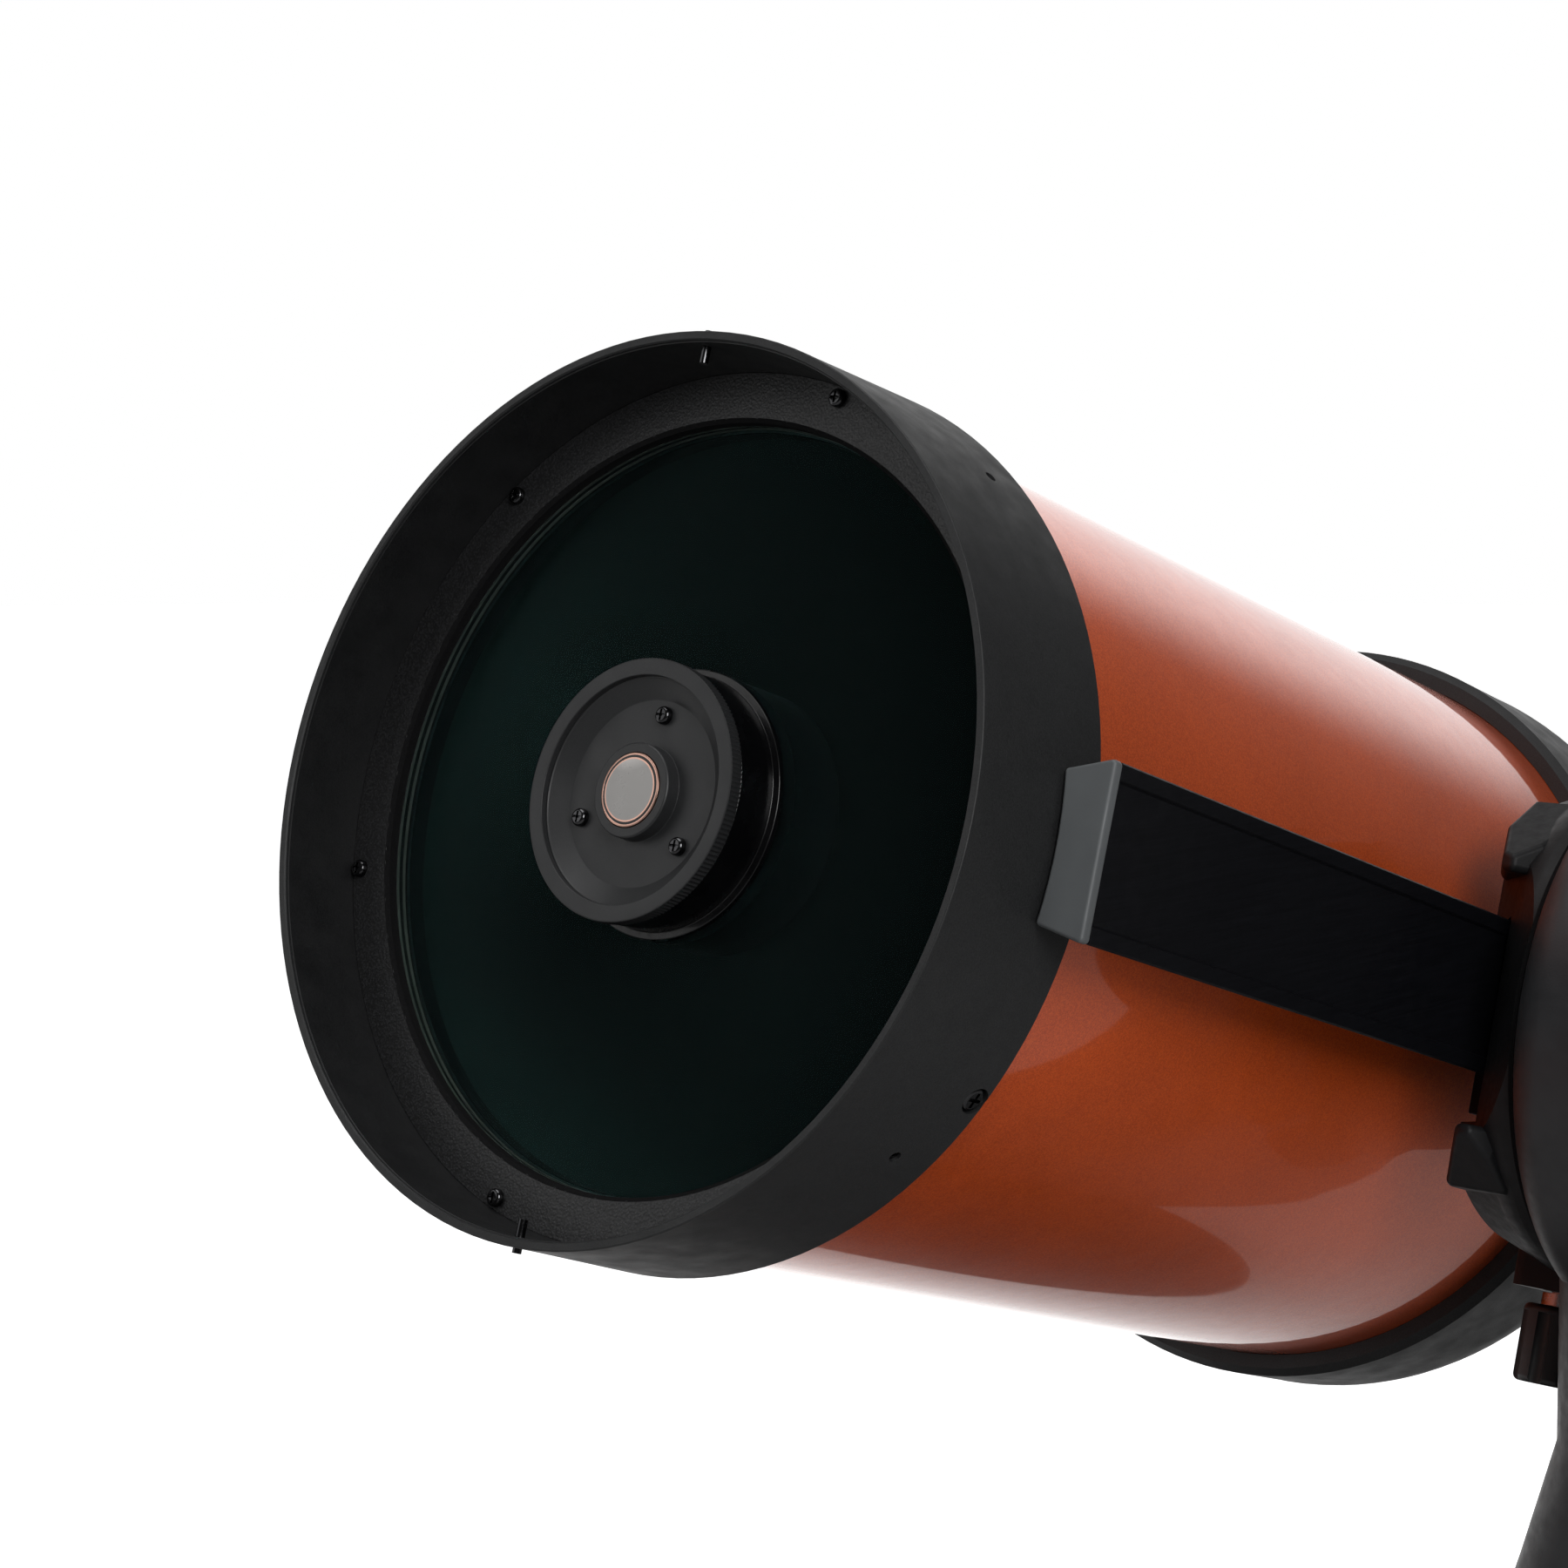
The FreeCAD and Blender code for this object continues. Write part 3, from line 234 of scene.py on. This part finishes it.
def rubber():
    s = Surface("grip_rubber", 0.62, 0.0, Specular_IOR_Level=0.35)
    fine = s.noise(0.4, 4.0)
    s.colour(s.blend(s.spread(s.noise(8, 4.0), 0.0, 1.0), (0.010, 0.010, 0.011), (0.021, 0.021, 0.022)))
    s.rough(s.spread(fine, 0.55, 0.74))
    s.bump(fine, 0.03, 0.5)
    return s.material


def foil_badge():
    """Plain silver foil under a clear dome, with a painted reflection: a soft change from dark to light
    across it.
    """
    s = Surface("badge_silver", 0.3, 0.2)
    # dark to light across the dome: painted reflection
    painted_glare = s.spread(s.noise(26, 0.0), 0.0, 1.0, 0.46, 0.54)
    s.colour(s.blend(painted_glare, (0.30, 0.29, 0.28), (0.58, 0.55, 0.53)))
    s.rough(s.spread(s.noise(3.0, 2.0), 0.26, 0.34))
    return s.material


MATERIALS = {
    "orange_paint": orange_paint(),
    "cell_black": powder_coat("cell_black", (0.0075, 0.0077, 0.008), (0.0175, 0.018, 0.019)),
    "ring_black": crinkle("ring_black", (0.008, 0.008, 0.0085), (0.024, 0.0245, 0.026)),
    "satin_grey": powder_coat("satin_grey", (0.015, 0.0155, 0.0165), (0.022, 0.0225, 0.0235),
                              grain=0.3, depth=0.012, rough=(0.42, 0.5)),
    "gloss_black": gloss_black("gloss_black", 0.24, (0.0015, 0.0015, 0.0018)),
    "flat_black": flat_black("flat_black", (0.0028, 0.0028, 0.003), (0.0065, 0.0065, 0.007)),
    # green-black, lighter than flat_black: painted reflection of the coatings' tint seen behind the
    # corrector
    "lining_painted_haze": flat_black("lining_painted_haze", (0.0105, 0.0155, 0.0152), (0.0150, 0.0212, 0.0208)),
    "corrector_glass": coated_glass("corrector_glass", (0.62, 0.88, 0.86), ior=1.055, clear=0.998,
                                    sheen=(0.5, 1.0, 0.96)),
    "lens_glass": coated_glass("lens_glass", (0.82, 0.78, 0.95)),
    "mirror_coat": coated_mirror(),
    "bare_steel": bare_metal("bare_steel", (0.42, 0.42, 0.43), (0.58, 0.58, 0.59)),
    "dark_steel": bare_metal("dark_steel", (0.04, 0.04, 0.042), (0.08, 0.08, 0.083), (0.12, 0.2)),
    "bright_chrome": bare_metal("bright_chrome", (0.68, 0.69, 0.7), (0.8, 0.8, 0.82), (0.05, 0.14)),
    "machined_aluminium": bare_metal("machined_aluminium", (0.5, 0.51, 0.52), (0.62, 0.63, 0.64),
                                     (0.26, 0.38), along=1),
    "bar_black": anodised("bar_black", (0.0024, 0.0025, 0.0034), (0.0046, 0.0048, 0.0064)),
    "cap_grey": moulded("cap_grey", (0.090, 0.096, 0.100), (0.118, 0.126, 0.130), 0.5, 0.02),
    "arm_charcoal": moulded("arm_charcoal", (0.016, 0.0165, 0.018), (0.026, 0.027, 0.029)),
    "saddle_black": moulded("saddle_black", (0.006, 0.006, 0.0065), (0.010, 0.010, 0.011), specular=0.2),
    "black_plastic": moulded("black_plastic", (0.008, 0.008, 0.009), (0.015, 0.015, 0.016)),
    "grip_rubber": rubber(),
    "gear_brass": bare_metal("gear_brass", (0.55, 0.36, 0.13), (0.72, 0.52, 0.22), (0.18, 0.34)),
    "badge_silver": foil_badge(),
    "badge_copper": bare_metal("badge_copper", (0.66, 0.38, 0.30), (0.80, 0.50, 0.40), (0.28, 0.36),
                               depth=0.001),
    # darker than cell_black: painted shade inside the front cell's wall
    "wall_painted_shade": powder_coat("wall_painted_shade", (0.0035, 0.0036, 0.004), (0.0095, 0.0098, 0.0105)),
    "seal_grey": moulded("seal_grey", (0.050, 0.045, 0.040), (0.075, 0.068, 0.060)),
}


# ---- mesh helpers ----
def new_object(name, mesh_builder, material, body, place, replaced=(), angle=32.0):
    """Make a smooth mesh object with edges over the angle sharp, and let it ride on a CAD body."""
    mesh = bpy.data.meshes.new(name)
    bm = bmesh.new()
    mesh_builder(bm)
    bmesh.ops.recalc_face_normals(bm, faces=bm.faces)
    bm.transform(place)
    bm.to_mesh(mesh)
    bm.free()
    obj = bpy.data.objects.new(name, mesh)
    bpy.context.scene.collection.objects.link(obj)
    mesh.materials.append(MATERIALS[material])
    for face in mesh.polygons:
        face.use_smooth = True
    mesh.set_sharp_from_angle(angle=math.radians(angle))
    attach(obj, body)
    if replaced:
        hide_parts(*replaced)
    return obj


CREASE_ANGLE = math.radians(33)
BEVEL_ANGLE = math.radians(30)
FLAT_ANGLE = math.radians(0.6)
WELD_DISTANCE = 2e-6


def crease_group():
    """Geometry nodes that shade a mesh smooth and leave edges over CREASE_ANGLE sharp."""
    group = bpy.data.node_groups.new("crease_by_angle", "GeometryNodeTree")
    group.interface.new_socket("Geometry", in_out="INPUT", socket_type="NodeSocketGeometry")
    group.interface.new_socket("Geometry", in_out="OUTPUT", socket_type="NodeSocketGeometry")
    entry, leave = group.nodes.new("NodeGroupInput"), group.nodes.new("NodeGroupOutput")
    faces = group.nodes.new("GeometryNodeSetShadeSmooth")
    faces.domain = "FACE"
    edges = group.nodes.new("GeometryNodeSetShadeSmooth")
    edges.domain = "EDGE"
    edges.inputs["Shade Smooth"].default_value = False
    angle = group.nodes.new("GeometryNodeInputMeshEdgeAngle")
    steep = group.nodes.new("FunctionNodeCompare")
    steep.operation = "GREATER_THAN"
    steep.inputs["B"].default_value = CREASE_ANGLE
    group.links.new(entry.outputs[0], faces.inputs["Geometry"])
    group.links.new(faces.outputs[0], edges.inputs["Geometry"])
    group.links.new(angle.outputs["Unsigned Angle"], steep.inputs["A"])
    group.links.new(steep.outputs["Result"], edges.inputs["Selection"])
    group.links.new(edges.outputs[0], leave.inputs[0])
    return group


CREASE = crease_group()


def soften(node, width, material):
    """Give a CAD node its material and, where width is over 0, ease its sharp edges by that many mm."""
    obj = NODES[node]
    obj.data.materials.clear()
    obj.data.materials.append(MATERIALS[material])
    if width <= 0:
        return
    weld = obj.modifiers.new("weld", "WELD")
    weld.merge_threshold = WELD_DISTANCE
    merge = obj.modifiers.new("flats", "DECIMATE")
    merge.decimate_type = "DISSOLVE"
    merge.angle_limit = FLAT_ANGLE
    bevel = obj.modifiers.new("edges", "BEVEL")
    bevel.width = width * MM
    bevel.segments = 3
    bevel.limit_method = "ANGLE"
    bevel.angle_limit = BEVEL_ANGLE
    crease = obj.modifiers.new("crease", "NODES")
    crease.node_group = CREASE
    weighted = obj.modifiers.new("flat_normals", "WEIGHTED_NORMAL")
    weighted.keep_sharp = True
    weighted.weight = 80


SLOTS = {row["node"]: row["material_slot"] for row in frame["record"]["subparts"]}
# how far each node's edges are eased, mm; a node that isn't named keeps its edges
EDGE_WIDTHS = {
    "front_cell": 0.45, "corrector_ring": 0.3, "secondary_cell": 0.35, "secondary_holder": 0.3,
    "rear_cell": 0.6, "dovetail_bar": 0.3, "dovetail_end_caps": 0.9, "saddle": 0.9, "clamp_jaw": 0.5,
    "clamp_knob": 0.5, "arm_inner_shell": 0.5, "arm_outer_shell": 0.5, "turntable_cover": 0.6,
    "battery_door": 0.5, "port_panel": 0.4, "base_casting": 0.7, "diagonal_body": 0.5,
    "finder_body": 0.6, "finder_bracket": 0.6, "visual_back": 0.3, "focus_knob": 0.4,
    "focuser_retainer": 0.3, "power_switch": 0.3, "eyecup": 0.3, "eyepiece_body": 0.3,
    "cell_screws": 0.12, "ring_screws": 0.12, "collimation_screws": 0.12, "arm_screws": 0.12,
    "back_thumbscrew": 0.2, "diagonal_thumbscrew": 0.2, "finder_knob": 0.2, "dovetail_screws": 0.12}
# nodes whose material looks different from the one their slot is named after
SHOWN_AS = {"cap_pins": "dark_steel", "saddle": "saddle_black"}
for node_name in NODES:
    soften(node_name, EDGE_WIDTHS.get(node_name, 0.0), SHOWN_AS.get(node_name, SLOTS[node_name]))


# ---- turned pieces ----
def rounded(corners, radii, steps=3):
    """Closed profile with its corners eased; radii is one value or one per corner, in mm."""
    count = len(corners)
    if not isinstance(radii, (list, tuple)):
        radii = [radii] * count
    path = []
    for index, (corner, radius) in enumerate(zip(corners, radii)):
        here = Vector(corner)
        before, after = Vector(corners[index - 1]), Vector(corners[(index + 1) % count])
        reach = min(radius, 0.45 * (before - here).length, 0.45 * (after - here).length)
        if reach < 1e-6:
            path.append(here)
            continue
        start = here + (before - here).normalized() * reach
        end = here + (after - here).normalized() * reach
        for step in range(steps + 1):
            t = step / steps
            path.append(start * (1 - t) ** 2 + here * 2 * t * (1 - t) + end * t ** 2)
    return path


def turned(path, segments, ripple=None):
    """Builder of a solid of revolution about Y from a closed (radius, depth) path in mm."""
    def build(bm):
        rings = []
        for step in range(segments):
            angle = 2 * math.pi * step / segments
            ring = []
            for radius, depth in path:
                if ripple is not None:
                    radius = ripple(radius, depth, step)
                across = Vector((math.cos(angle) * radius, depth, math.sin(angle) * radius))
                ring.append(bm.verts.new(across * MM))
            rings.append(ring)
        count = len(path)
        for step in range(segments):
            here, there = rings[step], rings[(step + 1) % segments]
            for index in range(count):
                other = (index + 1) % count
                bm.faces.new((here[index], here[other], there[other], there[index]))
    return build


def band(inner, outer, front, back):
    """Closed profile of a plain ring: two radii and two depths, mm."""
    return [(inner, front), (outer, front), (outer, back), (inner, back)]


def tube_piece(name, path, segments, material, ripple=None, replaced=(), angle=32.0):
    """Turned piece about the tube's axis."""
    new_object(name, turned(path, segments, ripple), material, "tube", TUBE_PLACE, replaced, angle)


# the tube's black inner paint, lightened and tinted green: painted reflection of the coatings' tint seen
# through the corrector
tube_piece("tube_lining", band(109.3, 109.62, 38.6, 333.0), 144, "lining_painted_haze")


# darker matt paint inside the front cell's wall, partly its own black paint and partly painted shade of the
# recess; matt paint on the ring's bore
RING_FACE = 24.56
RING_BACK = 28.15
tube_piece("cell_wall_painted_shade", [(113.42, 1.4), (113.72, 1.2), (113.5, RING_FACE), (113.12, RING_FACE)], 180,
           "wall_painted_shade")
tube_piece("ring_bore_paint", [
    (100.95, RING_FACE), (99.84, 25.44), (99.84, RING_BACK),
    (100.05, RING_BACK), (100.05, 25.52), (100.98, 24.62)], 180, "flat_black")


# the corrector's blackened edge between two thin seals, and the cell's bore behind it
BAND_THICKNESS = 0.3
for name, radius, front, back, material in (
        ("corrector_edge_paint", 100.2, 28.34, 33.0, "flat_black"),
        ("cell_bore_paint", 99.25, 33.2, 38.1, "flat_black"),
        ("corrector_seal_front", 99.85, 28.42, 29.3, "seal_grey"),
        ("corrector_seal_back", 99.85, 30.9, 31.8, "seal_grey")):
    tube_piece(name, band(radius, radius + BAND_THICKNESS, front, back), 180, material)


# finely knurled ring in front of the secondary
KNURL_DEPTHS = (0.0, 0.22, 0.34, 0.22)  # one knurl is four steps round the rim


def knurl(radius, depth, step):
    on_rim = radius > 33.4 and depth > 10.2
    return radius - KNURL_DEPTHS[step % 4] if on_rim else radius


knurled_path = rounded(
    [(29.4, 9.9), (33.83, 9.9), (33.83, 13.85), (31.3, 13.85), (31.3, 11.6), (29.4, 11.6)],
    [0.3, 0.55, 0.3, 0.1, 0.1, 0.1], 4)
tube_piece("secondary_knurled_ring", knurled_path, 720, "satin_grey", ripple=knurl,
           replaced=["secondary_ring"], angle=50)


# the badge: copper and black rings round a shallow silver dome, no mark on it
BADGE_BACK = 11.3
DOME_RADIUS, LINE_RADIUS, BAND_RADIUS, BADGE_RADIUS = 7.85, 8.25, 8.9, 9.5
DOME_HOLE = 0.02


def badge_ring(inner, inner_depth, outer, outer_depth):
    """Closed profile of a badge ring: its face slopes between two (radius, depth) points."""
    return [(inner, inner_depth), (outer, outer_depth), (outer, BADGE_BACK), (inner, BADGE_BACK)]


def dome_depth(radius):
    return 10.12 + 0.0036 * radius * radius


tube_piece("badge_rim", rounded(badge_ring(BAND_RADIUS, 10.42, BADGE_RADIUS, 10.55), 0.1), 120,
           "badge_copper")
tube_piece("badge_band", badge_ring(LINE_RADIUS, 10.42, BAND_RADIUS, 10.5), 120,
           "gloss_black")
tube_piece("badge_line", badge_ring(DOME_RADIUS, 10.34, LINE_RADIUS, 10.38), 120,
           "badge_copper")
dome = [(radius, dome_depth(radius)) for radius in (DOME_HOLE, 1.5, 3.0, 4.5, 6.0, 7.0, DOME_RADIUS)]
tube_piece("badge_face", dome + [(DOME_RADIUS, BADGE_BACK), (DOME_HOLE, BADGE_BACK)], 120, "badge_silver",
           replaced=["secondary_badge"])


# black band at the saddle's rear edge: painted shadow of the gap where the saddle's disc meets the arm
new_object("saddle_seam_painted_shadow", turned(band(70.3, 70.74, 146.2, 147.5), 180),
           "flat_black", "altitude", SADDLE_PLACE)


# ---- floor, backdrop and light ----
BRIGHT_WAY = Vector((-0.75, 0.66, 0.0))  # the brighter side, behind the telescope in the picture's view
GLOW_STARTS, GLOW_FULL = 0.08, 0.62  # metres from the middle towards the bright side
FLOOR_SEEN = 0.86
FLOOR_RADIUS = 9.0


def floor_paper():
    """White paper that is plain white to the camera.

    On the telescope it throws no light of its own on the near side, and more towards the bright side.
    """
    s = Surface("floor_paper", 0.8, 0.0, Specular_IOR_Level=0.1)
    seen = s.node("ShaderNodeLightPath").outputs["Is Camera Ray"]
    s.colour(s.blend(seen, (0.5, 0.5, 0.5), (0.9, 0.9, 0.9)))
    s.set("Emission Color", (1, 1, 1, 1))
    behind = s.node("ShaderNodeVectorMath", {0: s.place, 1: BRIGHT_WAY}, operation="DOT_PRODUCT")
    glow = s.spread(behind.outputs["Value"], 0.0, 1.0, GLOW_STARTS, GLOW_FULL)
    strength = s.node("ShaderNodeMix", {0: seen, 2: glow, 3: FLOOR_SEEN}, data_type="FLOAT").outputs[0]
    s.tree.links.new(strength, s.shader.inputs["Emission Strength"])
    return s.material


def pale_floor():
    mesh = bpy.data.meshes.new("floor")
    bm = bmesh.new()
    bmesh.ops.create_circle(bm, cap_ends=True, radius=FLOOR_RADIUS, segments=96)
    bm.to_mesh(mesh)
    bm.free()
    mesh.materials.append(floor_paper())
    obj = bpy.data.objects.new("floor", mesh)
    bpy.context.scene.collection.objects.link(obj)


pale_floor()


WALL_LIGHT = 1.0
UPPER_LIGHT = 0.3
FILL_LIGHT = 0.07
WALL_EDGE = (0.54, 0.80)  # how nearly a direction points the bright way where the wall starts and is full
WALL_TOP = (0.4, 0.7)  # upward part of a direction where the wall begins to dim and is at its dimmest


def world_light():
    """White studio, plain white to the camera.

    It lights the telescope from a bright wall behind it, less from above and from the viewer's side.
    """
    world = bpy.data.worlds.new("studio")
    world.use_nodes = True
    tree = world.node_tree
    back = tree.nodes["Background"]
    place = tree.nodes.new("ShaderNodeTexCoord")
    dot = tree.nodes.new("ShaderNodeVectorMath")
    dot.operation = "DOT_PRODUCT"
    dot.inputs[1].default_value = BRIGHT_WAY
    tree.links.new(place.outputs["Generated"], dot.inputs[0])
    height = tree.nodes.new("ShaderNodeSeparateXYZ")
    tree.links.new(place.outputs["Generated"], height.inputs[0])

    def ramp(source, low, high, start, end):
        made = tree.nodes.new("ShaderNodeMapRange")
        made.interpolation_type = "SMOOTHSTEP"
        for socket, value in (("From Min", low), ("From Max", high), ("To Min", start), ("To Max", end)):
            made.inputs[socket].default_value = value
        tree.links.new(source, made.inputs["Value"])
        return made.outputs["Result"]

    side = ramp(dot.outputs["Value"], *WALL_EDGE, 0.0, 1.0)
    low = ramp(height.outputs["Z"], *WALL_TOP, WALL_LIGHT, UPPER_LIGHT)
    both = tree.nodes.new("ShaderNodeMath")
    both.operation = "MULTIPLY_ADD"
    both.inputs[2].default_value = FILL_LIGHT
    tree.links.new(side, both.inputs[0])
    tree.links.new(low, both.inputs[1])
    back.inputs["Color"].default_value = (1, 1, 1, 1)
    tree.links.new(both.outputs[0], back.inputs["Strength"])
    backdrop = tree.nodes.new("ShaderNodeBackground")
    backdrop.inputs["Color"].default_value = (1, 1, 1, 1)
    backdrop.inputs["Strength"].default_value = 1.0
    seen = tree.nodes.new("ShaderNodeLightPath").outputs["Is Camera Ray"]
    either = tree.nodes.new("ShaderNodeMixShader")
    tree.links.new(seen, either.inputs["Fac"])
    tree.links.new(back.outputs["Background"], either.inputs[1])
    tree.links.new(backdrop.outputs["Background"], either.inputs[2])
    tree.links.new(either.outputs["Shader"], tree.nodes["World Output"].inputs["Surface"])
    bpy.context.scene.world = world


world_light()


def softbox(name, place, target, side, power):
    """Square area light, with its place, aim and side in metres and its power in watts."""
    light = bpy.data.lights.new(name, "AREA")
    light.shape = "SQUARE"
    light.size = side
    light.energy = power
    obj = bpy.data.objects.new(name, light)
    obj.location = place
    obj.rotation_euler = (Vector(target) - Vector(place)).to_track_quat("-Z", "Y").to_euler()
    bpy.context.scene.collection.objects.link(obj)


softbox("top_box", (-0.2, -0.3, 2.3), (0, 0, 0.4), 1.4, 16)
softbox("key_box", (1.5, -1.1, 1.3), (0, -0.1, 0.42), 0.9, 23)
softbox("left_box", (-1.45, -1.75, 1.25), (0, -0.25, 0.47), 1.6, 8)

# ---- camera at the picture's angle ----
CAMERA_PLACE = Vector((0.5687, -0.8429, 0.5574))
CAMERA_WAY = Vector((-0.655, 0.7475, -0.111))
SENSOR_WIDTH, FOCAL_LENGTH = 36.0, 75.96  # mm
camera_data = bpy.data.cameras.new("camera")
camera_data.sensor_width = SENSOR_WIDTH
camera_data.lens = FOCAL_LENGTH
camera_data.clip_start = 0.01
camera = bpy.data.objects.new("camera", camera_data)
camera.location = CAMERA_PLACE
camera.rotation_euler = CAMERA_WAY.to_track_quat("-Z", "Y").to_euler()
bpy.context.scene.collection.objects.link(camera)
bpy.context.scene.camera = camera
bpy.context.scene.view_settings.view_transform = "Standard"
